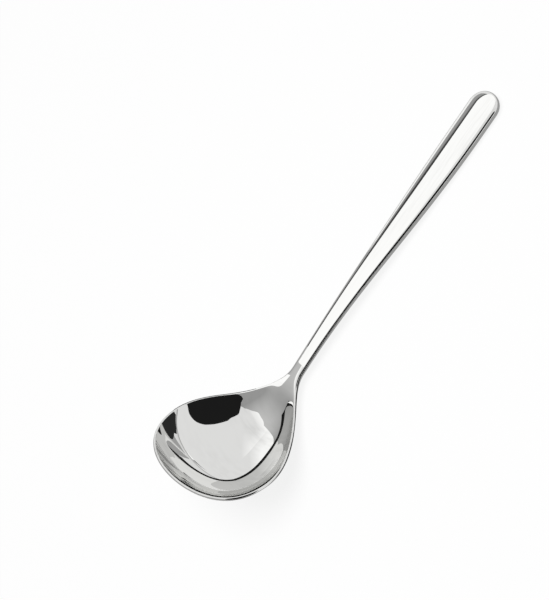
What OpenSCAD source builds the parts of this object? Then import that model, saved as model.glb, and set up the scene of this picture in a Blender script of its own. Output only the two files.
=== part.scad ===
// Soup ladle with a pressed bowl and a welded hollow handle, in millimetres.
// It lies at rest on a table: +Z is up and +X runs from the bowl's lip to the handle's end.
// A place along the ladle is its path distance from the bowl's widest place, positive towards
// the handle. The path runs along the rim and then along the top of the handle.

/* [Bowl] */
// Width of the bowl over its rim
bowl_width = 57; // [50:0.5:64]
// Distance from the bowl's widest place to its lip
bowl_front = 24.2; // [22:0.1:30]
// Distance from the bowl's widest place to the narrowest place of the neck
bowl_back = 46.7; // [42:0.1:52]
// Depth of the bowl below its rim, inside
bowl_depth = 15.5; // [12:0.1:18]
// Thickness of the bowl's sheet
sheet = 1.2; // [0.8:0.1:1.6]
// How far the rim turns down towards the lip
lip_angle = 3.2; // [0.5:0.1:8]
// How full the outline is towards the lip
lip_bulge = 0.3; // [0:0.01:0.4]
// How upright the wall is at the rim: nearer to 1 is steeper
wall_curve = 1.25; // [1.02:0.01:1.5]
// How soon the bottom of the bowl rises towards the neck: more is sooner
trough_power = 2.6; // [2:0.1:3.5]

/* [Neck] */
// Angle of the handle above the rim, after the bend
rise_angle = 41.8; // [32:0.1:46]
// Path distance where the rim starts to bend up
bend_from = 17.4; // [10:0.1:22]
// Path distance where the bend ends
bend_to = 37; // [30:0.5:42]
// Width of the neck
neck_width = 5.7; // [5.6:0.1:8]
// Thickness of the neck where the handle starts
neck_thick = 3.2; // [3.2:0.1:4.5]

/* [Handle] */
// Path distance from the bowl's widest place to the handle's end
path_end = 184.8; // [160:0.1:200]
// Width of the handle near its end
handle_width = 14; // [10:0.2:18]
// Thickness of the handle near its end
handle_thick = 4.9; // [4:0.1:6]
// How far the handle flattens out after the bend
arch_angle = 7; // [2:0.5:12]
// Path distance where the handle stops flattening out
arch_to = 108; // [90:1:150]
// How far the last part of the handle turns up again
end_lift = 2.6; // [0:0.1:5]
// Wall of the two handle shells
wall = 0.8; // [0.6:0.05:0.9]
// Width of the weld beads at the surface
bead = 0.5; // [0.3:0.1:0.8]

/* [Tang] */
// Width of the tang
tang_width = 3.2; // [2.4:0.1:3.4]
// Thickness of the tang
tang_thick = 1.2; // [0.8:0.1:1.3]
// Length of the tang inside the neck
tang_seat = 8; // [5:0.5:9]
// Length of the tang inside the handle
tang_reach = 34; // [20:1:40]
// Play of the tang in its slot, all round
tang_play = 0.1; // [0.05:0.05:0.15]

/* [Hidden] */

STEEL = [0.80, 0.81, 0.82];
INNER_STEEL = [0.62, 0.63, 0.65];
WELD = [0.72, 0.72, 0.73];

rim_w = bowl_width / 2;
neck_w = neck_width / 2;
end_w = handle_width / 2;
trough_end = bowl_back + 2;
joint = bowl_back + 2;
blend_from = 22;
taper_end = path_end - 2.4 * end_w;
tip_from = path_end - end_w;
edge_power = 3.2;
path_step = 0.5;
nudge = 0.02;

// Counts of mesh points: along the bowl, along the handle and across one face
bowl_front_n = 18;
bowl_back_n = 34;
handle_n = 30;
tip_n = 10;
face_n = 24;
edge_angle = 14;

function smooth(t) = let (c = min(max(t, 0), 1)) c * c * (3 - 2 * c);
function mix(a, b, t) = a * (1 - t) + b * t;
function bell(v) = v >= 1 ? 0 : pow(1 - v * v, 2);
function unit(v) = v / norm(v);
function signed_pow(v, p) = sign(v) * pow(abs(v), p);
function flat(rows) = [for (row = rows) each row];

// The path: its slope, its points and its frame
function slope(s) =
    s < 0
        ? -lip_angle * s / bowl_front
        : rise_angle * smooth((s - bend_from) / (bend_to - bend_from))
            - arch_angle * smooth((s - bend_to) / (arch_to - bend_to))
            + end_lift * smooth((s - arch_to) / (path_end - arch_to));
lip_radius = bowl_front / lip_angle * 180 / PI;
path_n = ceil(path_end / path_step) + 2;
path = [
    for (i = 0, x = 0, z = 0;
        i <= path_n;
        x = x + path_step * cos(slope(path_step * (i + 0.5))),
        z = z + path_step * sin(slope(path_step * (i + 0.5))),
        i = i + 1)
    [x, z]
];
function path_at(s) =
    s <= 0
        ? lip_radius * [-sin(slope(s)), cos(slope(s)) - 1]
        : let (q = s / path_step, i = floor(q)) mix(path[i], path[i + 1], q - i);
function place(s, y, h) =
    let (p = path_at(s), a = slope(s)) [p.x - h * sin(a), y, p.y + h * cos(a)];

// Half the outline's width and the thickness of the solid section at a path distance
function lip_w(v) = sqrt(max(0, (1 - v * v) * (1 + lip_bulge * v * v)));
function back_w(s, w) = neck_w + (w - neck_w) * bell(s / bowl_back);
function taper(s) = smooth((s - bowl_back) / (taper_end - bowl_back));
function handle_w(s) = s < bowl_back ? back_w(s, rim_w) : mix(neck_w, end_w, taper(s));
function handle_t(s) = mix(neck_thick, handle_thick, taper(s));

// The bowl's inner face: a cap that is flat at the bottom and steep at the rim
cap_base = sqrt(wall_curve * wall_curve - 1);
rim_slope = atan(bowl_depth / rim_w / cap_base / (wall_curve - cap_base));
in_w = rim_w - sheet * sin(rim_slope);
in_front = bowl_front - sheet * sin(rim_slope);
function cap(r) =
    (sqrt(max(0, wall_curve * wall_curve - r * r)) - cap_base) / (wall_curve - cap_base);
function inner_w(s) = s < 0 ? in_w * lip_w(s / in_front) : back_w(s, in_w);
function trough(s) =
    bowl_depth * (s < 0 ? 1 : pow(max(0, 1 - pow(s / trough_end, 2)), trough_power));
function reach(s, y) =
    s >= 0
        ? abs(y) / inner_w(s)
        : let (v = s / in_front) sqrt(v * v + pow(y / in_w, 2) / (1 + lip_bulge * v * v));
function inner(s, y) = place(s, y, -trough(s) * cap(reach(s, y)));
function inner_normal(s, y) =
    let (
        along = inner(s + nudge, y) - inner(s - nudge, y),
        across = inner(s, y + nudge) - inner(s, y - nudge)
    )
    unit(cross(along, across));

// One closed ring round the bowl's sheet: inner face, rounded rim, outer face, rounded rim
function rim(s, side) = inner(s, side * inner_w(s));
function rim_points(s, side, from, to) =
    let (
        out = inner_normal(s, side * inner_w(s)),
        up = side * cross(out, unit(rim(s + nudge, side) - rim(s - nudge, side))),
        centre = rim(s, side) - out * sheet / 2
    )
    [for (a = [from:(to - from) / 4:to]) if (a != from && a != to)
        centre + sheet / 2 * (cos(a) * out + 0.7 * sin(a) * up)];
function sheet_ring(s) =
    let (w = inner_w(s), ys = [for (k = [0:face_n]) w * cos(180 * k / face_n)])
    concat(
        [for (y = ys) inner(s, y)],
        rim_points(s, -1, 0, 180),
        [for (k = [face_n:-1:0]) inner(s, ys[k]) - sheet * inner_normal(s, ys[k])],
        rim_points(s, 1, 180, 0)
    );

// The same ring order on a solid section that is w to each side and t thick
turn = [
    for (k = [0:face_n]) mix(edge_angle, 180 - edge_angle, k / face_n),
    for (k = [1:3]) mix(180 - edge_angle, 180 + edge_angle, k / 4),
    for (k = [0:face_n]) mix(180 + edge_angle, 360 - edge_angle, k / face_n),
    for (k = [1:3]) mix(-edge_angle, edge_angle, k / 4)
];
function section(s, w, t, mid, power) =
    [for (a = turn) place(s,
        w * signed_pow(cos(a), 2 / power),
        mid + t / 2 * signed_pow(sin(a), 2 / power))];
function solid_ring(s, at, inset) =
    section(at, handle_w(s) - inset, handle_t(s) - 2 * inset, -handle_t(s) / 2, edge_power);
function bowl_ring(s) =
    s <= blend_from
        ? sheet_ring(s)
        : let (b = smooth((s - blend_from) / (joint - bead / 2 - blend_from)))
            mix(sheet_ring(s), solid_ring(s, s, 0), b);

// Faces that join rings in turn into a tube
function tube_faces(rings, count, closed = false) = [
    for (i = [0:rings - (closed ? 1 : 2)]) for (k = [0:count - 1])
        let (
            a = i * count + k,
            b = i * count + (k + 1) % count,
            up = ((i + 1) % rings - i) * count
        )
        each [[a, b + up, b], [a, a + up, b + up]]
];

// Rest on the table: the tilt at which the bowl's back and the handle's end are level
bowl_rings = [
    for (k = [0:bowl_front_n - 1]) bowl_ring(-0.9985 * in_front * cos(90 * k / bowl_front_n)),
    for (k = [0:bowl_back_n]) bowl_ring((joint - bead / 2) * k / bowl_back_n)
];
bowl_cloud = flat(bowl_rings);
function fall(p, a) = p.z * cos(a) - p.x * sin(a);
function lowest(cloud, a) = min([for (p = cloud) fall(p, a)]);
function rest_angle(low, high, n) =
    let (a = (low + high) / 2)
    n == 0 ? a
        : lowest(bowl_cloud, a) < lowest(end_cloud, a)
            ? rest_angle(a, high, n - 1)
            : rest_angle(low, a, n - 1);
function run(p, a) = p.x * cos(a) + p.z * sin(a);

// The handle's faces: one half is up (1) or down (-1), and inset gives the cavity's face
handle_places = [
    for (k = [0:handle_n - 1]) mix(0, tip_from - joint, k / handle_n),
    for (k = [0:tip_n]) tip_from - joint + 0.992 * end_w * sin(90 * k / tip_n)
];
function skin(d, inset, side, lift) =
    let (
        s = joint + d * (path_end - inset - joint) / (path_end - joint) + lift * (1 - d / path_end),
        w = handle_w(s) - inset,
        t = handle_t(s) / 2 - inset,
        e = max(0, s - tip_from) / (end_w - inset),
        narrow = sqrt(max(0, 1 - e * e))
    )
    [for (k = [0:face_n])
        let (
            y = w * narrow * signed_pow(cos(180 * k / face_n), 2 / edge_power),
            r = min(1, sqrt(pow(y / w, 2) + e * e)),
            h = t * pow(max(0, 1 - pow(r, edge_power)), 1 / edge_power),
            gap = inset == 0 ? bead / 2 : 0
        )
        place(s, y, -handle_t(s) / 2 + side * max(gap, h))];
end_cloud = flat([for (d = handle_places) skin(d, 0, -1, bead / 2)]);

rest_tilt = rest_angle(20, 60, 30);
all_runs = [for (p = concat(bowl_cloud, end_cloud)) run(p, rest_tilt)];
middle_x = (min(all_runs) + max(all_runs)) / 2;
table_z = lowest(end_cloud, rest_tilt);

module laid_down() {
    translate([-middle_x, 0, -table_z]) rotate([0, rest_tilt, 0]) children();
}

// Pressed bowl with its solid neck, slotted at the end for the tang
module bowl() {
    count = len(turn);
    slot = [tang_width / 2 + tang_play, tang_thick + 2 * tang_play];
    rings = concat(
        bowl_rings,
        [solid_ring(joint, joint, wall)],
        [for (at = [joint, joint - tang_seat])
            section(at, slot[0], slot[1], -neck_thick / 2, 10)]
    );
    last = (len(rings) - 1) * count;
    lip_cap = [
        for (k = [0:face_n - 1])
            let (a = k, b = 2 * face_n + 4 - k)
            each [[a, b - 1, b], [a, a + 1, b - 1]],
        [for (k = [2 * face_n + 4:count - 1]) k, 0],
        [for (k = [face_n:face_n + 4]) k]
    ];
    color(STEEL) laid_down() polyhedron(
        flat(rings),
        concat(
            tube_faces(len(rings), count),
            lip_cap,
            [[for (k = [count - 1:-1:0]) last + k]]
        ),
        convexity = 6
    );
}

// Flat bar that lines up the neck and the hollow handle and backs their weld
module tang() {
    length = tang_seat + tang_reach - 0.2;
    middle = joint + (tang_reach - tang_seat) / 2;
    at = place(middle, 0, -handle_t(middle) / 2);
    color(INNER_STEEL) laid_down()
        translate(at) rotate([0, -slope(middle), 0])
            cube([length, tang_width, tang_thick], center = true);
}

// Half of the hollow handle, split along the middle of its edge
module handle_half(side) {
    n = len(handle_places);
    row = face_n + 1;
    inside = n * row;
    points = concat(
        flat([for (d = handle_places) skin(d, 0, side, bead / 2)]),
        flat([for (d = handle_places) skin(d, wall, side, 0)])
    );
    faces = concat(
        [for (i = [0:n - 2]) for (k = [0:row - 2])
            let (a = i * row + k)
            each [[a, a + 1, a + row + 1], [a, a + row + 1, a + row]]],
        [for (i = [0:n - 2]) for (k = [0:row - 2])
            let (a = inside + i * row + k)
            each [[a, a + row + 1, a + 1], [a, a + row, a + row + 1]]],
        [for (k = [0:row - 2])
            each [[k, inside + k + 1, k + 1], [k, inside + k, inside + k + 1]]],
        [for (i = [0:n - 2])
            let (a = i * row)
            each [[a, a + row, inside + a + row], [a, inside + a + row, inside + a]]],
        [for (i = [0:n - 2])
            let (a = i * row + row - 1)
            each [[a, inside + a + row, a + row], [a, inside + a, inside + a + row]]],
        [[for (k = [0:row - 1]) inside - row + k]],
        [[for (k = [row - 1:-1:0]) inside + inside - row + k]],
        [[inside - row, inside - 1, 2 * inside - 1], [inside - row, 2 * inside - 1, 2 * inside - row]]
    );
    color(STEEL) laid_down() polyhedron(
        points,
        side < 0 ? faces : [for (f = faces) [for (k = [len(f) - 1:-1:0]) f[k]]],
        convexity = 6
    );
}

module handle_front_shell() { handle_half(1); }

module handle_back_shell() { handle_half(-1); }

// Bead that closes the groove between the two shells, down both sides and round the end
module seam_weld() {
    n = len(handle_places);
    function bead_at(i, k) = [
        skin(handle_places[i], 0, -1, bead / 2)[k],
        skin(handle_places[i], 0, 1, bead / 2)[k],
        skin(handle_places[i], wall, 1, 0)[k]
    ];
    rings = [
        for (i = [0:n - 1]) bead_at(i, 0),
        for (i = [n - 1:-1:0]) bead_at(i, face_n)
    ];
    last = 3 * len(rings);
    color(WELD) laid_down() polyhedron(
        flat(rings),
        concat(tube_faces(len(rings), 3), [[0, 1, 2], [last - 1, last - 2, last - 3]]),
        convexity = 4
    );
}

// Bead that closes the groove between the neck and the handle's mouth
module neck_weld() {
    rings = [
        solid_ring(joint - bead / 2, joint - bead / 2, 0),
        solid_ring(joint + bead / 2, joint + bead / 2, 0),
        solid_ring(joint, joint, wall)
    ];
    color(WELD) laid_down() polyhedron(
        flat(rings),
        tube_faces(3, len(turn), closed = true),
        convexity = 4
    );
}

bowl();
tang();
handle_front_shell();
handle_back_shell();
seam_weld();
neck_weld();
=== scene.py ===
from collections import namedtuple
from math import asin, atan, ceil, cos, pi, radians, sin, sqrt

import bmesh
import bpy
from bpy.props import FloatProperty, FloatVectorProperty, PointerProperty
from mathutils import Matrix, Vector


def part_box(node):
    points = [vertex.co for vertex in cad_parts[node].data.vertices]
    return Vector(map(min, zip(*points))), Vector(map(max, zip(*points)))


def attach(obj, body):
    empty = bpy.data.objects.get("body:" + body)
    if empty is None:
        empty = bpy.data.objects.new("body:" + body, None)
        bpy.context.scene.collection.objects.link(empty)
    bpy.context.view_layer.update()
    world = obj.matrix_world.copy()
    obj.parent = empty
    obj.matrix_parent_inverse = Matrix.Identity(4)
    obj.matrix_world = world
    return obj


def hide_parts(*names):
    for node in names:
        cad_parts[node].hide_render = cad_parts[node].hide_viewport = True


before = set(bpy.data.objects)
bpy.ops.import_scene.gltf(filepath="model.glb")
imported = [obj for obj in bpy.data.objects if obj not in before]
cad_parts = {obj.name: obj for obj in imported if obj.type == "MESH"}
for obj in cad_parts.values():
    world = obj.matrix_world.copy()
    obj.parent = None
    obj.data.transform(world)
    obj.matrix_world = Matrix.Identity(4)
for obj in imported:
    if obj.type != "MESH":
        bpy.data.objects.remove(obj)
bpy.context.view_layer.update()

bl_info = {
    "name": "Soup Ladle",
    "version": (1, 0, 0),
    "blender": (4, 5, 0),
    "location": "View3D > Sidebar > Ladle",
    "description": "Models a polished soup ladle with a pressed bowl and a welded hollow handle",
    "category": "Mesh",
}


# Values that a user would change

def length(name, description, default):
    return FloatProperty(name=name, description=description, default=default, min=0.0,
                         precision=5, unit="LENGTH")


def angle(name, description, degrees):
    return FloatProperty(name=name, description=description, default=radians(degrees),
                         subtype="ANGLE")


def colour(name, description, default):
    return FloatVectorProperty(name=name, description=description, default=default, size=4,
                               min=0.0, max=1.0, subtype="COLOR")


def factor(name, description, default, high=1.0):
    return FloatProperty(name=name, description=description, default=default, min=0.0, max=high,
                         precision=3)


class LadleSizes(bpy.types.PropertyGroup):
    """Sizes of the bowl, the neck and the handle"""

    bowl_width: length("Bowl width", "Width of the bowl over its rim", 0.057)
    bowl_front: length("Bowl front", "From the bowl's widest place to its lip", 0.0242)
    bowl_back: length("Bowl back", "From the bowl's widest place to the neck", 0.0467)
    bowl_depth: length("Bowl depth", "Depth of the bowl below its rim, inside", 0.0155)
    sheet: length("Sheet", "Thickness of the bowl's sheet", 0.0012)
    wall_curve: factor("Wall curve", "Nearer to 1 is a steeper wall at the rim", 1.25, 2.0)
    trough_power: factor("Trough power", "More lets the bottom rise sooner to the neck", 2.6, 5.0)
    lip_bulge: factor("Lip bulge", "How full the outline is towards the lip", 0.3)
    lip_angle: angle("Lip turn", "How far the rim turns down towards the lip", 3.2)
    rise_angle: angle("Rise", "Angle of the handle above the rim, after the bend", 41.8)
    bend_from: length("Bend start", "Path distance where the rim starts to bend up", 0.0174)
    bend_to: length("Bend end", "Path distance where the bend ends", 0.037)
    neck_width: length("Neck width", "Width of the neck", 0.0057)
    neck_thick: length("Neck thickness", "Thickness of the neck at the handle", 0.0032)
    path_end: length("Path length", "From the bowl's widest place to the handle's end", 0.1848)
    handle_width: length("Handle width", "Width of the handle near its end", 0.014)
    handle_thick: length("Handle thickness", "Thickness of the handle near its end", 0.0049)
    arch_angle: angle("Arch", "How far the handle flattens out after the bend", 7.0)
    arch_to: length("Arch end", "Path distance where the handle stops flattening out", 0.108)
    end_lift: angle("End lift", "How far the last part of the handle turns up again", 2.6)
    edge_power: factor("Edge power", "How square the section of the handle is", 3.2, 10.0)
    wall: length("Shell wall", "Wall of the two handle shells", 0.0008)
    bead: length("Weld bead", "Width of the weld beads at the surface", 0.0005)
    slot_width: length("Slot width", "Width of the slot for the tang", 0.0034)
    slot_thick: length("Slot thickness", "Thickness of the slot for the tang", 0.0014)
    slot_depth: length("Slot depth", "Depth of the slot for the tang", 0.008)


class LadleFinish(bpy.types.PropertyGroup):
    """Colours and polish of the steel"""

    steel: colour("Polished steel", "Colour of the polished steel", (0.71, 0.71, 0.70, 1.0))
    marks: colour("Polishing marks", "Colour of the fine streaks", (0.62, 0.62, 0.61, 1.0))
    edge_tint: colour("Edge tint", "Tint of the steel at a glancing view", (0.97, 0.97, 0.97, 1.0))
    weld: colour("Weld steel", "Colour of the ground weld beads", (0.70, 0.70, 0.69, 1.0))
    tang: colour("Tang steel", "Colour of the blanked bar", (0.42, 0.42, 0.43, 1.0))
    tang_marks: colour("Tang marks", "Colour of the bar's rolling marks", (0.30, 0.30, 0.31, 1.0))
    polish: factor("Polish", "Roughness of the polished steel", 0.012)


class LadleStudio(bpy.types.PropertyGroup):
    """Floor, light and camera"""

    floor: colour("Floor", "Colour of the floor", (0.90, 0.90, 0.90, 1.0))
    floor_glow: factor("Floor glow", "Share of the floor's white that is its own", 0.86)
    mirror_glow: factor("Floor glow in the steel", "The same share, as the steel shows it", 0.1)
    ambient: factor("Ambient light", "Light on the floor from all round", 0.25)
    lamp_power: FloatProperty(name="Lamp power", description="Power of the lamp overhead",
                              default=9.0, min=0.0, unit="POWER")
    lamp_size: length("Lamp size", "Diameter of the lamp overhead", 0.7)
    lamp_height: length("Lamp height", "Height of the lamp above the table", 1.0)
    azimuth: angle("Camera azimuth", "Camera's direction round the table, from +X", -84.120)
    elevation: angle("Camera elevation", "Camera's height above the table", 56.259)
    roll: angle("Camera roll", "Turn of the camera about its view", -60.573)
    lens: FloatProperty(name="Lens", description="Focal length for a 36 mm long side",
                        default=103.526, unit="CAMERA")
    distance: length("Camera distance", "Distance from the camera to the aim", 0.7)
    shift_right: FloatProperty(name="Camera right", description="Camera's shift to its right",
                               default=-0.028756, unit="LENGTH")
    shift_up: FloatProperty(name="Camera up", description="Camera's shift along its up side",
                            default=-0.003609, unit="LENGTH")
    aim_height: length("Aim height", "Height of the point that the camera aims at", 0.01)


# The ladle's surfaces as formulas

def smooth(t):
    t = min(max(t, 0.0), 1.0)
    return t * t * (3.0 - 2.0 * t)


def mix(a, b, t):
    return a * (1.0 - t) + b * t


def spread(start, end, steps):
    """Evenly spaced values from start to end."""
    return [mix(start, end, i / steps) for i in range(steps + 1)]


def bell(v):
    return 0.0 if v >= 1.0 else (1.0 - v * v) ** 2


def signed_power(v, p):
    return abs(v) ** p if v >= 0.0 else -(abs(v) ** p)


class LadleForm:
    """The ladle's outside in metres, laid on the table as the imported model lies.

    A place along the ladle is its path distance from the bowl's widest place, positive towards
    the handle. The path runs along the rim and then along the crown of the handle.
    """

    # Steps along the path, and for measuring a slope
    PATH_STEP = 0.00005
    NUDGE = 0.00002
    # Where the sheet starts to thicken, and from the bowl's end to the middle of the neck's weld
    BLEND_FROM = 0.022
    BEYOND_NECK = 0.002
    # Where the handle stops widening and how far its round end reaches, in half widths
    TAPER_STOP = 2.4
    TIP_TRIM = 0.992
    # Height of the rounded rim, in half thicknesses of the sheet
    RIM_ROUND = 0.7
    # The search for the tilt: its limits, its rounds and how many steps it looks at
    TILT_LIMITS = radians(20.0), radians(60.0)
    TILT_ROUNDS = 50
    BOWL_STEPS = 800
    HANDLE_STEPS = 399
    TIP_STEPS = 100

    def __init__(self, size):
        self.size = size
        self.rim_w = size.bowl_width / 2.0
        self.neck_w = size.neck_width / 2.0
        self.end_w = size.handle_width / 2.0
        self.joint = size.bowl_back + self.BEYOND_NECK
        self.neck_end = self.joint - size.bead / 2.0
        self.mouth = self.joint + size.bead / 2.0
        self.taper_end = size.path_end - self.TAPER_STOP * self.end_w
        self.tip_from = size.path_end - self.end_w
        self.cap_base = sqrt(size.wall_curve ** 2 - 1.0)
        self.cap_height = size.wall_curve - self.cap_base
        rim_slope = atan(size.bowl_depth / self.rim_w / self.cap_base / self.cap_height)
        self.in_w = self.rim_w - size.sheet * sin(rim_slope)
        self.in_front = size.bowl_front - size.sheet * sin(rim_slope)
        self.path = self.walk_path()
        self.lay_down()

    def slope(self, s):
        size = self.size
        if s < 0.0:
            return -size.lip_angle * s / size.bowl_front
        rise = smooth((s - size.bend_from) / (size.bend_to - size.bend_from))
        arch = smooth((s - size.bend_to) / (size.arch_to - size.bend_to))
        lift = smooth((s - size.arch_to) / (size.path_end - size.arch_to))
        return size.rise_angle * rise - size.arch_angle * arch + size.end_lift * lift

    def walk_path(self):
        x = z = 0.0
        points = [(x, z)]
        for i in range(ceil(self.size.path_end / self.PATH_STEP) + 2):
            turn = self.slope(self.PATH_STEP * (i + 0.5))
            x += self.PATH_STEP * cos(turn)
            z += self.PATH_STEP * sin(turn)
            points.append((x, z))
        return points

    def place(self, s, y, h):
        """A point at path distance s, y to the side and h above the path, in the bowl's frame."""
        turn = self.slope(s)
        if s <= 0.0:
            radius = self.size.bowl_front / self.size.lip_angle
            x, z = -radius * sin(turn), radius * (cos(turn) - 1.0)
        else:
            i = int(s / self.PATH_STEP)
            t = s / self.PATH_STEP - i
            (x0, z0), (x1, z1) = self.path[i], self.path[i + 1]
            x, z = mix(x0, x1, t), mix(z0, z1, t)
        return Vector((x - h * sin(turn), y, z + h * cos(turn)))

    def back_w(self, s, w):
        return self.neck_w + (w - self.neck_w) * bell(s / self.size.bowl_back)

    def taper(self, s):
        back = self.size.bowl_back
        return smooth((s - back) / (self.taper_end - back))

    def handle_w(self, s):
        if s < self.size.bowl_back:
            return self.back_w(s, self.rim_w)
        return mix(self.neck_w, self.end_w, self.taper(s))

    def handle_t(self, s):
        return mix(self.size.neck_thick, self.size.handle_thick, self.taper(s))

    def cap(self, r):
        rise = sqrt(max(0.0, self.size.wall_curve ** 2 - r * r)) - self.cap_base
        return rise / self.cap_height

    def inner(self, s, y):
        """A point of the bowl's inner face."""
        if s >= 0.0:
            rest = max(0.0, 1.0 - (s / self.joint) ** 2)
            depth = self.size.bowl_depth * rest ** self.size.trough_power
            r = abs(y) / self.back_w(s, self.in_w)
        else:
            depth = self.size.bowl_depth
            v = s / self.in_front
            r = sqrt(v * v + (y / self.in_w) ** 2 / (1.0 + self.size.lip_bulge * v * v))
        return self.place(s, y, -depth * self.cap(r))

    def inner_normal(self, s, y):
        d = self.NUDGE
        along = self.inner(s + d, y) - self.inner(s - d, y)
        across = self.inner(s, y + d) - self.inner(s, y - d)
        return along.cross(across).normalized()

    def inner_rim(self, s):
        return self.inner(s, self.back_w(s, self.in_w))

    def sheet_row(self, edge, across, rim_along, rim_count):
        """Half a section of the bowl's sheet: inner face, rounded rim, outer face.

        edge(0 to 1) gives path distance and side from the middle out to the rim, and rim_along
        is the rim's direction there.
        """
        sheet = self.size.sheet
        spots = [edge(r) for r in across]
        face = [self.inner(s, y) for s, y in spots]
        outs = [self.inner_normal(s, y) for s, y in spots]
        back = [p - sheet * n for p, n in zip(face, outs)]
        out = outs[-1]
        up = out.cross(rim_along).normalized()
        centre = face[-1] - out * sheet / 2.0
        rim = []
        for k in range(1, rim_count + 1):
            a = pi * k / (rim_count + 1)
            rim.append(centre + sheet / 2.0 * (cos(a) * out + self.RIM_ROUND * sin(a) * up))
        return face + rim + back[::-1]

    def section_row(self, s, w, t, middle, turns, power):
        """Points of a solid section, rounded like a bar with square shoulders."""
        return [self.place(s, w * signed_power(cos(a), 2.0 / power),
                           middle + t / 2.0 * signed_power(sin(a), 2.0 / power))
                for a in turns]

    def thicken(self, s):
        """How far the sheet has thickened into the solid neck."""
        return smooth((s - self.BLEND_FROM) / (self.neck_end - self.BLEND_FROM))

    def underside(self, s):
        """The middle of the bowl's outer face."""
        under = self.inner(s, 0.0) - self.size.sheet * self.inner_normal(s, 0.0)
        return mix(under, self.place(s, 0.0, -self.handle_t(s)), self.thicken(s))

    def lay_down(self):
        """Finds the tilt at which the bowl's back and the handle's end both touch the table."""
        power = self.size.edge_power
        bowl = [self.underside(s) for s in spread(-self.in_front, self.neck_end, self.BOWL_STEPS)]
        handle = [self.place(s, 0.0, -self.handle_t(s))
                  for s in spread(self.mouth, self.tip_from, self.HANDLE_STEPS)]
        t = self.handle_t(self.tip_from)
        for e in spread(0.0, 1.0, self.TIP_STEPS):
            s = self.tip_from + self.TIP_TRIM * self.end_w * e
            h = t / 2.0 * (1.0 - e ** power) ** (1.0 / power)
            handle.append(self.place(s, 0.0, -t / 2.0 - h))

        def lowest(points, tilt):
            return min(p.z * cos(tilt) - p.x * sin(tilt) for p in points)
        low, high = self.TILT_LIMITS
        for _ in range(self.TILT_ROUNDS):
            tilt = (low + high) / 2.0
            if lowest(bowl, tilt) < lowest(handle, tilt):
                low = tilt
            else:
                high = tilt
        turned = Matrix.Rotation(tilt, 4, "Y")
        end = max((turned @ p).x for p in handle)
        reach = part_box("handle_front_shell")[1][0]
        self.tilt = Matrix.Translation((reach - end, 0.0, -lowest(handle, tilt))) @ turned

    def laid(self, rows):
        return [[self.tilt @ p for p in row] for row in rows]


# Mesh helpers

ON_AXIS = 1e-3
MERGE_DISTANCE = 1e-6
MIRROR_MERGE_DISTANCE = 2e-6
SMOOTH_ANGLE = radians(40.0)


def start_section(name, count, closed):
    """Adds a ring of points, opened to a half ring unless closed, numbered in order."""
    bpy.ops.object.select_all(action="DESELECT")
    bpy.ops.mesh.primitive_circle_add(vertices=count if closed else 2 * (count - 1))
    piece = bpy.context.object
    piece.name = piece.data.name = name
    bpy.ops.object.mode_set(mode="EDIT")
    bpy.ops.mesh.select_mode(type="VERT")
    if not closed:
        mesh = bmesh.from_edit_mesh(piece.data)
        for v in mesh.verts:
            v.select_set(v.co.x > ON_AXIS)
        mesh.select_flush_mode()
        bpy.ops.mesh.delete(type="VERT")
    mesh = bmesh.from_edit_mesh(piece.data)
    number = mesh.verts.layers.int.new("number")
    mesh.verts.ensure_lookup_table()
    order = mesh.verts if closed else sorted(mesh.verts, key=lambda v: -v.co.y)
    for k, v in enumerate(order):
        v[number] = k
    bmesh.update_edit_mesh(piece.data)
    bpy.ops.mesh.select_all(action="SELECT")
    return piece


def set_row(piece, row):
    """Moves the selected row of points to its places."""
    mesh = bmesh.from_edit_mesh(piece.data)
    number = mesh.verts.layers.int["number"]
    for v in mesh.verts:
        if v.select:
            v.co = row[v[number]]
    bmesh.update_edit_mesh(piece.data)


def draw_rows(name, rows, closed=False):
    """Extrudes a section through all rows and merges the points that meet."""
    piece = start_section(name, len(rows[0]), closed)
    set_row(piece, rows[0])
    for row in rows[1:]:
        bpy.ops.mesh.extrude_region_move()
        set_row(piece, row)
    bpy.ops.mesh.select_all(action="SELECT")
    bpy.ops.mesh.remove_doubles(threshold=MERGE_DISTANCE)
    bpy.ops.object.mode_set(mode="OBJECT")
    return piece


def mirror_half(piece):
    """Mirrors the half to the other side and joins the two along the middle."""
    half = piece.modifiers.new("Mirror", "MIRROR")
    half.use_axis = (False, True, False)
    half.use_mirror_merge = True
    half.merge_threshold = MIRROR_MERGE_DISTANCE
    bpy.ops.object.modifier_apply(modifier=half.name)


def close_and_face_out(fill):
    """Fills the open ends if asked and turns all faces outwards."""
    bpy.ops.object.mode_set(mode="EDIT")
    bpy.ops.mesh.select_all(action="SELECT")
    if fill:
        bpy.ops.mesh.fill_holes(sides=0)
        bpy.ops.mesh.select_all(action="SELECT")
    bpy.ops.mesh.normals_make_consistent(inside=False)
    bpy.ops.object.mode_set(mode="OBJECT")


def finish_piece(piece, material, slot, *nodes):
    """Smooths a piece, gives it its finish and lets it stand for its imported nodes."""
    bpy.ops.object.shade_smooth_by_angle(angle=SMOOTH_ANGLE)
    number = piece.data.attributes.get("number")
    if number:
        piece.data.attributes.remove(number)
    piece.data.materials.clear()
    piece.data.materials.append(material)
    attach(piece, "root")
    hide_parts(*nodes)


# Materials

def add_node(tree, kind, values=None, **settings):
    """Adds a node with its settings, and then with the values of its inputs."""
    node = tree.nodes.new(kind)
    for name, setting in settings.items():
        setattr(node, name, setting)
    for socket, value in (values or {}).items():
        node.inputs[socket].default_value = value
    return node


def link_all(tree, *pairs):
    for source, target in pairs:
        tree.links.new(source, target)


# Detail of the two noises, the parts of them that show, and the height of the fine one
FINE_DETAIL = 4.0
BROAD_DETAIL = 1.5
STREAKS_SHOWN = {"From Min": 0.42, "From Max": 0.72}
PATCHES_SHOWN = {"From Min": 0.38, "From Max": 0.68}
FINE_HEIGHT = 0.06


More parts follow.
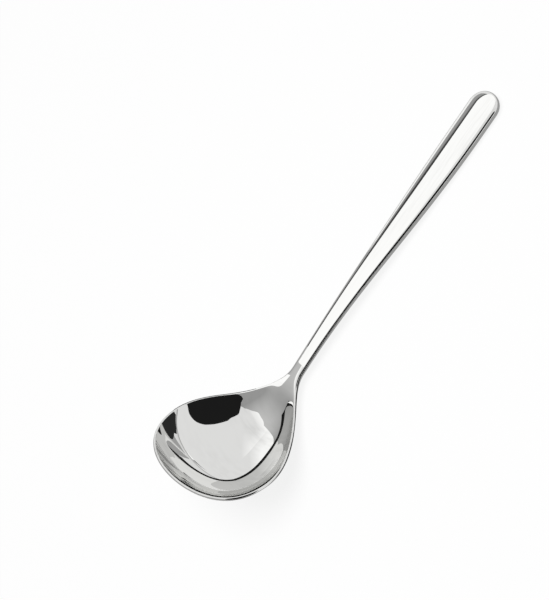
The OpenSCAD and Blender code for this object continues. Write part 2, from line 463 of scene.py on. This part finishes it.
def marks_group():
    """The marks that polishing leaves: fine streaks, gathered in soft broad patches.

    Streaks is a mask from 0 to 1, Roughness lies between Bright and Dull, and Height is for a
    bump. Place is stretched by the material to lay the streaks.
    """
    group = bpy.data.node_groups.get("polishing_marks")
    if group:
        return group
    group = bpy.data.node_groups.new("polishing_marks", "ShaderNodeTree")
    face = group.interface
    face.new_socket("Place", in_out="INPUT", socket_type="NodeSocketVector")
    for name in ("Fineness", "Breadth", "Bright", "Dull"):
        face.new_socket(name, in_out="INPUT", socket_type="NodeSocketFloat")
    for name in ("Streaks", "Roughness", "Height"):
        face.new_socket(name, in_out="OUTPUT", socket_type="NodeSocketFloat")
    given = add_node(group, "NodeGroupInput")
    made = add_node(group, "NodeGroupOutput")
    fine = add_node(group, "ShaderNodeTexNoise", {"Detail": FINE_DETAIL})
    broad = add_node(group, "ShaderNodeTexNoise", {"Detail": BROAD_DETAIL})
    streaks = add_node(group, "ShaderNodeMapRange", STREAKS_SHOWN)
    patches = add_node(group, "ShaderNodeMapRange", PATCHES_SHOWN, interpolation_type="SMOOTHSTEP")
    both = add_node(group, "ShaderNodeMath", operation="MULTIPLY")
    rough = add_node(group, "ShaderNodeMix")
    height = add_node(group, "ShaderNodeMath", {1: FINE_HEIGHT}, operation="MULTIPLY_ADD")
    link_all(group,
             (given.outputs["Place"], fine.inputs["Vector"]),
             (given.outputs["Fineness"], fine.inputs["Scale"]),
             (given.outputs["Place"], broad.inputs["Vector"]),
             (given.outputs["Breadth"], broad.inputs["Scale"]),
             (fine.outputs["Fac"], streaks.inputs["Value"]),
             (broad.outputs["Fac"], patches.inputs["Value"]),
             (streaks.outputs["Result"], both.inputs[0]),
             (patches.outputs["Result"], both.inputs[1]),
             (both.outputs[0], rough.inputs["Factor"]),
             (given.outputs["Bright"], rough.inputs["A"]),
             (given.outputs["Dull"], rough.inputs["B"]),
             (fine.outputs["Fac"], height.inputs[0]),
             (broad.outputs["Fac"], height.inputs[2]),
             (both.outputs[0], made.inputs["Streaks"]),
             (rough.outputs["Result"], made.inputs["Roughness"]),
             (height.outputs[0], made.inputs["Height"]))
    return group


def steel_material(name, clean, worn, edge_tint, marks, stretch, depth, ring_centre=None):
    """Steel with polishing marks, along X or, with a centre given, in rings about it.

    marks holds values for the group's inputs, and depth is the height of the marks.
    """
    material = bpy.data.materials.new(name)
    material.use_nodes = True
    tree = material.node_tree
    shader = tree.nodes["Principled BSDF"]
    shader.inputs["Metallic"].default_value = 1.0
    shader.inputs["Specular Tint"].default_value = edge_tint
    place = add_node(tree, "ShaderNodeTexCoord")
    lay = add_node(tree, "ShaderNodeMapping", {"Scale": stretch})
    link_all(tree, (place.outputs["Object"], lay.inputs["Vector"]))
    laid = lay.outputs["Vector"]
    if ring_centre:
        arm = add_node(tree, "ShaderNodeVectorMath", {1: ring_centre}, operation="DISTANCE")
        ring = add_node(tree, "ShaderNodeCombineXYZ")
        total = add_node(tree, "ShaderNodeVectorMath", operation="ADD")
        link_all(tree,
                 (place.outputs["Object"], arm.inputs[0]),
                 (arm.outputs["Value"], ring.inputs["X"]),
                 (ring.outputs["Vector"], total.inputs[0]),
                 (laid, total.inputs[1]))
        laid = total.outputs["Vector"]
    group = add_node(tree, "ShaderNodeGroup", marks, node_tree=marks_group())
    tone = add_node(tree, "ShaderNodeMix", {"A": clean, "B": worn}, data_type="RGBA")
    bump = add_node(tree, "ShaderNodeBump", {"Distance": depth})
    link_all(tree,
             (laid, group.inputs["Place"]),
             (group.outputs["Streaks"], tone.inputs["Factor"]),
             (tone.outputs["Result"], shader.inputs["Base Color"]),
             (group.outputs["Roughness"], shader.inputs["Roughness"]),
             (group.outputs["Height"], bump.inputs["Height"]),
             (bump.outputs["Normal"], shader.inputs["Normal"]))
    return material


def mirror_marks(finish):
    return {"Fineness": 1400.0, "Breadth": 90.0, "Bright": finish.polish,
            "Dull": 2.5 * finish.polish}


def bowl_steel(finish):
    return steel_material("mirror_bowl", finish.steel, finish.marks, finish.edge_tint,
                          mirror_marks(finish), stretch=(0.12, 0.12, 0.12), depth=2e-6,
                          ring_centre=(-0.075, 0.0, 0.05))


def handle_steel(finish):
    return steel_material("mirror_handle", finish.steel, finish.marks, finish.edge_tint,
                          mirror_marks(finish), stretch=(0.06, 1.0, 1.0), depth=2e-6)


def weld_steel(finish):
    marks = {"Fineness": 2600.0, "Breadth": 400.0, "Bright": 2.0 * finish.polish,
             "Dull": 8.0 * finish.polish}
    return steel_material("ground_weld", finish.weld, finish.marks, finish.edge_tint,
                          marks, stretch=(0.3, 1.0, 1.0), depth=2e-6)


def tang_steel(finish):
    marks = {"Fineness": 1800.0, "Breadth": 120.0, "Bright": 0.28, "Dull": 0.5}
    return steel_material("mill_bar", finish.tang, finish.tang_marks, finish.edge_tint,
                          marks, stretch=(0.03, 1.0, 1.0), depth=2e-5)


# The bowl

FACE_COUNT = 56
RIM_COUNT = 9
BACK_ROWS = 110
LIP_ROWS = 72
# The part of a solid section's turn that is its edge, and how square the tang's slot is
EDGE_TURN = radians(14.0)
SLOT_POWER = 10.0
# A small turn about the lip, for measuring the rim's direction
TURN_NUDGE = 1e-4


class LADLE_OT_bowl(bpy.types.Operator):
    """Press the bowl: a thin dish that thickens into the solid neck, with a slot for the tang"""

    bl_idname = "ladle.press_bowl"
    bl_label = "Press Bowl"

    def execute(self, context):
        size = context.scene.ladle_sizes
        form = LadleForm(size)
        across = [sin(pi / 2.0 * j / FACE_COUNT) for j in range(FACE_COUNT + 1)]
        flank = pi / 2.0 - EDGE_TURN
        turns = [pi / 2.0 - flank * j / FACE_COUNT for j in range(FACE_COUNT + 1)]
        turns += [EDGE_TURN * (1.0 - 2.0 * k / (RIM_COUNT + 1)) for k in range(1, RIM_COUNT + 1)]
        turns += [-a for a in turns[FACE_COUNT::-1]]
        rows = [form.section_row(form.joint - depth, size.slot_width / 2.0, size.slot_thick,
                                 -size.neck_thick / 2.0, turns, SLOT_POWER)
                for depth in (size.slot_depth, 0.0)]
        t = form.handle_t(form.joint)
        rows.append(form.section_row(form.joint, form.handle_w(form.joint) - size.wall,
                                     t - 2.0 * size.wall, -t / 2.0, turns, size.edge_power))
        rows += [self.back_row(form, form.neck_end * (1.0 - i / BACK_ROWS), across, turns)
                 for i in range(BACK_ROWS)]
        rows += [self.lip_row(form, i, across) for i in range(LIP_ROWS + 1)]
        piece = draw_rows("pressed_bowl", form.laid(rows))
        mirror_half(piece)
        close_and_face_out(fill=True)
        finish_piece(piece, bowl_steel(context.scene.ladle_finish), "polished_steel", "bowl")
        return {"FINISHED"}

    def back_row(self, form, s, across, turns):
        """Half a section between the neck and the bowl's widest place."""
        width = form.back_w(s, form.in_w)
        d = form.NUDGE
        behind = s - d if s > d else s
        along = form.inner_rim(behind + 2 * d) - form.inner_rim(behind)
        row = form.sheet_row(lambda r: (s, width * r), across, along, RIM_COUNT)
        b = form.thicken(s)
        if b == 0.0:
            return row
        t = form.handle_t(s)
        solid = form.section_row(s, form.handle_w(s), t, -t / 2.0, turns, form.size.edge_power)
        return [mix(p, q, b) for p, q in zip(row, solid)]

    def lip_row(self, form, i, across):
        """Half a section turned from the bowl's widest place towards the lip."""
        turn = pi / 2.0 * i / LIP_ROWS

        def edge(r, at=turn):
            v = r * sin(at)
            side = form.in_w * r * cos(at) * sqrt(1.0 + form.size.lip_bulge * v * v)
            return -form.in_front * v, side
        ahead = form.inner(*edge(1.0, turn + TURN_NUDGE))
        behind = form.inner(*edge(1.0, turn - TURN_NUDGE if i else turn))
        row = form.sheet_row(edge, across, behind - ahead, RIM_COUNT)
        if i == LIP_ROWS:
            row = [Vector((p.x, 0.0, p.z)) for p in row]
        return row


# The handle and the welds

SHELL_COUNT = 44
SHELL_ROWS = 96
TIP_ROWS = 40
# Heights across the seam's bead in half beads, and points round and rows along the neck's bead
SEAM_HEIGHTS = (1.0, 0.5, 0.0, -0.5, -1.0)
NECK_COUNT = 180
NECK_ROWS = 4


def shell_rows(form, heights):
    """Rows along the handle and round its end; heights(w, t) gives reach and height pairs."""
    made = []
    for i in range(SHELL_ROWS):
        s = mix(form.mouth, form.tip_from, i / SHELL_ROWS)
        w, t = form.handle_w(s), form.handle_t(s)
        made.append([form.place(s, w * r, h - t / 2.0) for r, h in heights(w, t)])
    w, t = form.handle_w(form.tip_from), form.handle_t(form.tip_from)
    for i in range(TIP_ROWS + 1):
        turn = pi / 2.0 * i / TIP_ROWS
        row = []
        for r, h in heights(w, t):
            s = form.tip_from + form.TIP_TRIM * form.end_w * r * sin(turn)
            side = w * r * cos(turn) if i < TIP_ROWS else 0.0
            row.append(form.place(s, side, h - t / 2.0))
        made.append(row)
    return made


class LADLE_OT_handle(bpy.types.Operator):
    """Form the two pressed shells of the hollow handle"""

    bl_idname = "ladle.form_handle_shells"
    bl_label = "Form Handle Shells"

    def execute(self, context):
        size = context.scene.ladle_sizes
        form = LadleForm(size)
        steel = handle_steel(context.scene.ladle_finish)
        power = size.edge_power
        for name, node, side in (("handle_front", "handle_front_shell", 1.0),
                                 ("handle_back", "handle_back_shell", -1.0)):
            def heights(w, t):
                last = asin((size.bead / t) ** (power / 2.0))
                return [(max(0.0, cos(a)) ** (2.0 / power) if j else 0.0,
                         side * t / 2.0 * sin(a) ** (2.0 / power))
                        for j, a in enumerate(spread(pi / 2.0, last, SHELL_COUNT))]
            piece = draw_rows(name, form.laid(shell_rows(form, heights)))
            mirror_half(piece)
            close_and_face_out(fill=False)
            self.give_wall(piece, side, size.wall)
            finish_piece(piece, steel, "polished_steel", node)
        return {"FINISHED"}

    def give_wall(self, piece, side, wall):
        """Turns the sheet outwards if it came out the other way, then thickens it inwards."""
        middle = max(piece.data.polygons, key=lambda f: side * f.center.z)
        if middle.normal.z * side < 0.0:
            bpy.ops.object.mode_set(mode="EDIT")
            bpy.ops.mesh.select_all(action="SELECT")
            bpy.ops.mesh.flip_normals()
            bpy.ops.object.mode_set(mode="OBJECT")
        thick = piece.modifiers.new("Wall", "SOLIDIFY")
        thick.thickness = wall
        thick.offset = -1.0
        bpy.ops.object.modifier_apply(modifier=thick.name)


class LADLE_OT_welds(bpy.types.Operator):
    """Run the ground weld beads along the seam of the shells and round the neck"""

    bl_idname = "ladle.run_weld_beads"
    bl_label = "Run Weld Beads"

    def execute(self, context):
        form = LadleForm(context.scene.ladle_sizes)
        steel = weld_steel(context.scene.ladle_finish)
        self.seam(form, steel)
        self.neck(form, steel)
        return {"FINISHED"}

    def seam(self, form, steel):
        size = form.size
        power = size.edge_power

        def heights(w, t):
            outer = []
            for k in SEAM_HEIGHTS:
                h = k * size.bead / 2.0
                outer.append(((1.0 - (abs(h) * 2.0 / t) ** power) ** (1.0 / power), h))
            return outer + [(1.0 - size.wall / w, 0.0)]
        piece = draw_rows("seam_bead", form.laid(shell_rows(form, heights)), closed=True)
        mirror_half(piece)
        close_and_face_out(fill=True)
        finish_piece(piece, steel, "weld_steel", "seam_weld")

    def neck(self, form, steel):
        turns = [2.0 * pi * k / NECK_COUNT for k in range(NECK_COUNT)]

        def ring(s, inset):
            t = form.handle_t(s)
            return form.section_row(s, form.handle_w(s) - inset, t - 2.0 * inset, -t / 2.0,
                                    turns, form.size.edge_power)
        rows = [ring(s, 0.0) for s in spread(form.neck_end, form.mouth, NECK_ROWS)]
        rows += [ring(form.joint, form.size.wall), rows[0]]
        piece = draw_rows("neck_bead", form.laid(rows), closed=True)
        close_and_face_out(fill=False)
        finish_piece(piece, steel, "weld_steel", "neck_weld")


class LADLE_OT_tang(bpy.types.Operator):
    """Give the blanked tang bar inside the handle its finish"""

    bl_idname = "ladle.finish_tang"
    bl_label = "Finish Tang"

    def execute(self, context):
        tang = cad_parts["tang"]
        tang.data.materials.clear()
        tang.data.materials.append(tang_steel(context.scene.ladle_finish))
        return {"FINISHED"}


# The studio

# A glow that goes from first to last between two distances along a direction
Fade = namedtuple("Fade", "first last along start end")

BOWL_CENTRE = Vector((-0.07, 0.0, 0.015))
CURVE_STEPS = 5
FLOOR_SIZE = 8.0
SENSOR_WIDTH = 36.0
CLIP_START = 0.01
WHITE = (1.0, 1.0, 1.0, 1.0)


def fade_from_bowl(first, last, along, start, end):
    """A fade whose distances are measured from the bowl."""
    middle = Vector(along).dot(BOWL_CENTRE)
    return Fade(first, last, along, middle + start, middle + end)


# How the cards glow
BLACK = 0.015
# Black of the painted shadow on the floor that only the steel mirrors
PAINTED_SHADOW_BLACK = 0.03
TABLE_GREY = 0.45
LIGHT = 1.37
PANEL_FADE = Fade(1.34, 1.0, (1.0, -0.49, 0.0), -0.0954, -0.05)
STRIP_FADE = fade_from_bowl(1.3, 1.0, (0.98, -0.19, 0.0), 0.0, 0.33)
BOWL_SHADE_FADE = Fade(0.75, 0.05, (0.0, 1.0, 0.0), -0.09, -0.03)
HANDLE_SHADE_FADE = Fade(0.06, 0.42, (0.05, 1.0, 0.0), 0.018, 0.021)
WALL_FADE = fade_from_bowl(0.42, 0.87, (0.0, 0.12, 0.32), 0.55, 1.0)

# Far cards by azimuth and elevation in degrees, as seen from the bowl
GAP_DISTANCE = 0.9
CAMERA_GAP = ((-57, 40), (-59, 29), (-66, 19), (-77, 13), (-86, 4), (-106, 0), (-124, 4),
              (-126, 16), (-125, 28), (-123, 38), (-118.5, 46), (-112, 51.8), (-102, 57.2),
              (-94, 60.4), (-86, 63), (-78, 65.2), (-72.5, 66.2), (-68, 66), (-64.5, 62),
              (-60.5, 55), (-58, 47))
STRIP_DISTANCE = 2.0
STRIP_LIGHT = ((60, 6), (84, 6), (84, 20), (83, 29), (82, 40), (82, 50), (82, 62), (83, 75),
               (60, 75))
WALL_DISTANCE = 2.5
WALL_AZIMUTHS = range(76, 264, 4)
WALL_ELEVATIONS = range(-4, 89, 4)

# Level cards by X and Y in metres, each at a height over the table
PANEL_HEIGHT = 0.14
TOP_PANEL = ((-0.0745, -0.048), (-0.0777, -0.04), (-0.08, -0.02), (-0.088, 0.0084),
             (-0.0807, 0.0293), (-0.071, 0.0557), (-0.0482, 0.0814), (-0.043, 0.107),
             (0.03, 0.107), (0.03, -0.04), (0.0, -0.042), (-0.04, -0.044), (-0.06, -0.046))
FLAG_HEIGHT = 0.06
RIM_FLAG = ((-0.108, -0.049), (-0.1, -0.04), (-0.09, -0.031), (-0.08, -0.0265),
            (-0.07, -0.0245), (-0.062, -0.0265), (-0.054, -0.032), (-0.046, -0.041),
            (-0.038, -0.052), (-0.034, -0.08), (-0.038, -0.1), (-0.108, -0.1))
HANDLE_CARD_HEIGHT = 0.018
HANDLE_LIGHT = ((-0.0375, -0.006), (0.125, -0.006), (0.125, 0.0125), (-0.0375, 0.0125))
HANDLE_SHADE = ((-0.03, 0.0125), (0.11, 0.0125), (0.11, 0.027), (-0.03, 0.027))
NECK_CARD_HEIGHT = 0.013
NECK_LIGHT = ((-0.0625, 0.0095), (-0.058, 0.0085), (-0.0543, 0.008), (-0.0512, 0.0073),
              (-0.046, 0.0066), (-0.0432, 0.0062), (-0.0432, 0.025), (-0.0625, 0.03))
# A black sheet just over the floor that only the steel mirrors: painted shadow of the ladle on the
# floor, reaching well out from the ladle
PAINTED_FLOOR_SHADOW_HEIGHT = 0.0004
PAINTED_FLOOR_SHADOW = ((-0.052, -0.006), (-0.052, -0.045), (-0.02, -0.1), (0.03, -0.17), (0.2, -0.42),
             (0.5, -0.5), (0.24, -0.2), (0.1, -0.105), (0.06, -0.078), (0.04, -0.055),
             (0.02, -0.036), (0.0, -0.02), (-0.015, -0.012), (-0.03, -0.008))
BOWL_SHADE_HEIGHT = 0.0003
BOWL_SHADE = ((-0.14, -0.09), (-0.045, -0.09), (-0.045, 0.01), (-0.14, 0.01))
TABLE_SHADE_HEIGHT = 0.0002
TABLE_SHADE = ((-0.052, -0.055), (0.13, -0.055), (0.13, 0.012), (-0.052, 0.012))

# Dark card on the far rim for a painted reflected line, from the bowl's widest place towards the
# neck
PAINTED_LINE_ROWS = 40
PAINTED_LINE_LENGTH = 0.03
PAINTED_LINE_LEAN = 0.8
PAINTED_LINE_START = 0.0085
PAINTED_LINE_END = 0.003
# A ray depth above this has been mirrored before
MIRRORED_ONCE = 1.5


def toward(azimuth, elevation, distance):
    """A place seen from the bowl in a direction given in degrees."""
    az, el = radians(azimuth), radians(elevation)
    return BOWL_CENTRE + distance * Vector((cos(el) * cos(az), cos(el) * sin(az), sin(el)))


def seen(corners, distance):
    return [toward(az, el, distance) for az, el in corners]


def level(corners, height):
    return [Vector((x, y, height)) for x, y in corners]


def rounded(corners):
    """A closed outline that curves through the corners."""
    curve = []
    for i in range(len(corners)):
        before, start, end, after = (Vector(corners[(i + k) % len(corners)])
                                     for k in (-1, 0, 1, 2))
        for k in range(CURVE_STEPS):
            t = k / CURVE_STEPS
            curve.append(start + 0.5 * t * (end - before + t * (
                2 * before - 5 * start + 4 * end - after
                + t * (3 * (start - end) + after - before))))
    return curve


def bare_material(piece):
    """Gives a piece of the stage a material with only its output node."""
    material = bpy.data.materials.new(piece.name)
    material.use_nodes = True
    material.node_tree.nodes.clear()
    piece.data.materials.clear()
    piece.data.materials.append(material)
    return material, add_node(material.node_tree, "ShaderNodeOutputMaterial")


class LADLE_OT_studio(bpy.types.Operator):
    """Set up the floor, the soft light, the cards that the steel mirrors, and the camera"""

    bl_idname = "ladle.set_studio"
    bl_label = "Set Studio"

    def execute(self, context):
        studio = context.scene.ladle_studio
        self.floor(studio)
        self.card("camera_gap", seen(rounded(CAMERA_GAP), GAP_DISTANCE), BLACK)
        self.card("top_panel", level(rounded(TOP_PANEL), PANEL_HEIGHT), PANEL_FADE)
        self.card("strip_light", seen(rounded(STRIP_LIGHT), STRIP_DISTANCE), STRIP_FADE)
        # Painted shadow on the floor, seen only in the steel's reflections
        self.card("painted_floor_shadow", level(PAINTED_FLOOR_SHADOW, PAINTED_FLOOR_SHADOW_HEIGHT), PAINTED_SHADOW_BLACK)
        self.card("bowl_shade", level(BOWL_SHADE, BOWL_SHADE_HEIGHT), BOWL_SHADE_FADE)
        self.card("table_shade", level(TABLE_SHADE, TABLE_SHADE_HEIGHT), TABLE_GREY)
        self.card("rim_flag", level(RIM_FLAG, FLAG_HEIGHT), BLACK)
        self.card("neck_light", level(NECK_LIGHT, NECK_CARD_HEIGHT), LIGHT, from_below=True)
        self.card("handle_light", level(HANDLE_LIGHT, HANDLE_CARD_HEIGHT), LIGHT, from_below=True)
        self.card("handle_shade", level(HANDLE_SHADE, HANDLE_CARD_HEIGHT), HANDLE_SHADE_FADE)
        # Dark card on the far rim for a painted dark line reflected in the bowl
        self.painted_rim_reflection(LadleForm(context.scene.ladle_sizes))
        self.wall()
        self.lamp(context, studio)
        self.world(context, studio)
        self.camera(context, studio)
        context.scene.view_settings.view_transform = "Standard"
        return {"FINISHED"}

    def floor(self, studio):
        """Lays a pale floor that is nearly white to the camera and keeps its shadow."""
        bpy.ops.object.select_all(action="DESELECT")
        bpy.ops.mesh.primitive_plane_add(size=FLOOR_SIZE)
        floor = bpy.context.object
        floor.name = "floor"
        material, out = bare_material(floor)
        tree = material.node_tree
        matt = add_node(tree, "ShaderNodeBsdfDiffuse", {"Color": studio.floor})
        glow = add_node(tree, "ShaderNodeEmission")
        path = add_node(tree, "ShaderNodeLightPath")
        camera = add_node(tree, "ShaderNodeMath", {1: studio.floor_glow}, operation="MULTIPLY")
        mirror = add_node(tree, "ShaderNodeMath", operation="ADD")
        share = add_node(tree, "ShaderNodeMath", {1: studio.mirror_glow}, operation="MULTIPLY_ADD")
        blend = add_node(tree, "ShaderNodeMixShader")
        link_all(tree,
                 (path.outputs["Is Camera Ray"], camera.inputs[0]),
                 (path.outputs["Is Glossy Ray"], mirror.inputs[0]),
                 (path.outputs["Is Transmission Ray"], mirror.inputs[1]),
                 (mirror.outputs[0], share.inputs[0]),
                 (camera.outputs[0], share.inputs[2]),
                 (share.outputs[0], blend.inputs[0]),
                 (matt.outputs[0], blend.inputs[1]),
                 (glow.outputs[0], blend.inputs[2]),
                 (blend.outputs[0], out.inputs["Surface"]))

    def card(self, name, outline, glow, from_below=False):
        """Hangs a flat card with the given corners, seen from both sides or only from below."""
        bpy.ops.object.select_all(action="DESELECT")
        bpy.ops.mesh.primitive_circle_add(vertices=len(outline), fill_type="NGON")
        card = bpy.context.object
        card.name = card.data.name = name
        bpy.ops.object.mode_set(mode="EDIT")
        mesh = bmesh.from_edit_mesh(card.data)
        for v, place in zip(mesh.verts, outline):
            v.co = place
        mesh.normal_update()
        if from_below and any(face.normal.z > 0.0 for face in mesh.faces):
            bpy.ops.mesh.select_all(action="SELECT")
            bpy.ops.mesh.flip_normals()
        bmesh.update_edit_mesh(card.data)
        bpy.ops.object.mode_set(mode="OBJECT")
        self.finish_card(card, glow, one_sided=from_below)

    def wall(self):
        """Curves the grey wall round the lip's side of the table."""
        rows = [[toward(az, el, WALL_DISTANCE) for el in WALL_ELEVATIONS] for az in WALL_AZIMUTHS]
        self.finish_card(draw_rows("grey_wall", rows), WALL_FADE)

    def painted_rim_reflection(self, form):
        """Stands a low dark card on the far rim, which the near wall mirrors as a painted dark
        line.
        """
        rows = []
        for i in range(PAINTED_LINE_ROWS + 1):
            s = PAINTED_LINE_LENGTH * i / PAINTED_LINE_ROWS
            out = -(form.tilt.to_3x3() @ form.inner_normal(s, form.back_w(s, form.in_w)))
            low = form.tilt @ form.inner_rim(s) + out * form.size.sheet / 2.0
            way = Vector((out.x, out.y, 0.0)).normalized() * PAINTED_LINE_LEAN + Vector((0.0, 0.0, 1.0))
            high = mix(PAINTED_LINE_START, PAINTED_LINE_END, smooth(i / PAINTED_LINE_ROWS))
            rows.append([low + way * high * k for k in (0.0, 0.5, 1.0)])
        self.finish_card(draw_rows("painted_rim_reflection", rows), BLACK, once=True)

    def finish_card(self, card, glow, once=False, one_sided=False):
        """Makes a card that only the steel sees, in one tone or in a fade.

        A card seen once is clear to what has been mirrored before, a one-sided one from its back.
        """
        material, out = bare_material(card)
        tree = material.node_tree
        light = add_node(tree, "ShaderNodeEmission")
        shown = light.outputs[0]
        if once or one_sided:
            if once:
                path = add_node(tree, "ShaderNodeLightPath")
                again = add_node(tree, "ShaderNodeMath", {1: MIRRORED_ONCE},
                                 operation="GREATER_THAN")
                link_all(tree, (path.outputs["Ray Depth"], again.inputs[0]))
                hidden = again.outputs[0]
            else:
                hidden = add_node(tree, "ShaderNodeNewGeometry").outputs["Backfacing"]
            clear = add_node(tree, "ShaderNodeBsdfTransparent")
            blend = add_node(tree, "ShaderNodeMixShader")
            link_all(tree, (hidden, blend.inputs[0]), (shown, blend.inputs[1]),
                     (clear.outputs[0], blend.inputs[2]))
            shown = blend.outputs[0]
        link_all(tree, (shown, out.inputs["Surface"]))
        if isinstance(glow, Fade):
            place = add_node(tree, "ShaderNodeTexCoord")
            along = add_node(tree, "ShaderNodeVectorMath", {1: glow.along},
                             operation="DOT_PRODUCT")
            fade = add_node(tree, "ShaderNodeMapRange", {
                "From Min": glow.start, "From Max": glow.end,
                "To Min": glow.first, "To Max": glow.last})
            link_all(tree,
                     (place.outputs["Object"], along.inputs[0]),
                     (along.outputs["Value"], fade.inputs["Value"]),
                     (fade.outputs["Result"], light.inputs["Strength"]))
        else:
            light.inputs["Strength"].default_value = glow
        material.cycles.emission_sampling = "NONE"
        card.visible_camera = False
        card.visible_diffuse = False
        card.visible_shadow = False

    def lamp(self, context, studio):
        data = bpy.data.lights.new("soft_lamp", "AREA")
        data.shape = "DISK"
        data.size = studio.lamp_size
        data.energy = studio.lamp_power
        lamp = bpy.data.objects.new("soft_lamp", data)
        context.scene.collection.objects.link(lamp)
        lamp.location = (0.0, 0.0, studio.lamp_height)
        lamp.visible_glossy = False

    def world(self, context, studio):
        """White where the camera and the steel look, dim where it lights the floor."""
        world = bpy.data.worlds.new("studio")
        context.scene.world = world
        world.use_nodes = True
        tree = world.node_tree
        back = tree.nodes["Background"]
        back.inputs["Color"].default_value = WHITE
        path = add_node(tree, "ShaderNodeLightPath")
        looks = add_node(tree, "ShaderNodeMath", operation="ADD")
        also = add_node(tree, "ShaderNodeMath", operation="ADD")
        fade = add_node(tree, "ShaderNodeMapRange", {"To Min": studio.ambient})
        link_all(tree,
                 (path.outputs["Is Camera Ray"], looks.inputs[0]),
                 (path.outputs["Is Glossy Ray"], looks.inputs[1]),
                 (looks.outputs[0], also.inputs[0]),
                 (path.outputs["Is Transmission Ray"], also.inputs[1]),
                 (also.outputs[0], fade.inputs["Value"]),
                 (fade.outputs["Result"], back.inputs["Strength"]))

    def camera(self, context, studio):
        around, height, roll = studio.azimuth, studio.elevation, studio.roll
        back = Vector((cos(height) * cos(around), cos(height) * sin(around), sin(height)))
        right = Vector((-sin(around), cos(around), 0.0))
        up = back.cross(right)
        turned = cos(roll) * right + sin(roll) * up
        upright = cos(roll) * up - sin(roll) * right
        place = (Vector((0.0, 0.0, studio.aim_height)) + studio.distance * back
                 + studio.shift_right * turned + studio.shift_up * upright)
        data = bpy.data.cameras.new("camera")
        data.lens = studio.lens
        data.sensor_width = SENSOR_WIDTH
        data.clip_start = CLIP_START
        camera = bpy.data.objects.new("camera", data)
        context.scene.collection.objects.link(camera)
        camera.matrix_world = Matrix.Translation(place) @ Matrix(
            (turned, upright, back)).transposed().to_4x4()
        context.scene.camera = camera


class LADLE_PT_panel(bpy.types.Panel):
    """Lists the steps that make the ladle"""

    bl_idname = "LADLE_PT_panel"
    bl_label = "Soup Ladle"
    bl_space_type = "VIEW_3D"
    bl_region_type = "UI"
    bl_category = "Ladle"

    def draw(self, context):
        layout = self.layout
        for step in STEPS:
            layout.operator(step.bl_idname)
        for group in ("ladle_sizes", "ladle_finish", "ladle_studio"):
            box = layout.box()
            values = getattr(context.scene, group)
            for name in values.__annotations__:
                box.prop(values, name)


GROUPS = (LadleSizes, LadleFinish, LadleStudio)
STEPS = (LADLE_OT_bowl, LADLE_OT_handle, LADLE_OT_welds, LADLE_OT_tang, LADLE_OT_studio)
CLASSES = GROUPS + STEPS + (LADLE_PT_panel,)


def register():
    for made in CLASSES:
        bpy.utils.register_class(made)
    bpy.types.Scene.ladle_sizes = PointerProperty(type=LadleSizes)
    bpy.types.Scene.ladle_finish = PointerProperty(type=LadleFinish)
    bpy.types.Scene.ladle_studio = PointerProperty(type=LadleStudio)


def unregister():
    del bpy.types.Scene.ladle_studio
    del bpy.types.Scene.ladle_finish
    del bpy.types.Scene.ladle_sizes
    for made in reversed(CLASSES):
        bpy.utils.unregister_class(made)


def main():
    register()
    bpy.ops.ladle.press_bowl()
    bpy.ops.ladle.form_handle_shells()
    bpy.ops.ladle.run_weld_beads()
    bpy.ops.ladle.finish_tang()
    bpy.ops.ladle.set_studio()


if __name__ == "__main__":
    main()
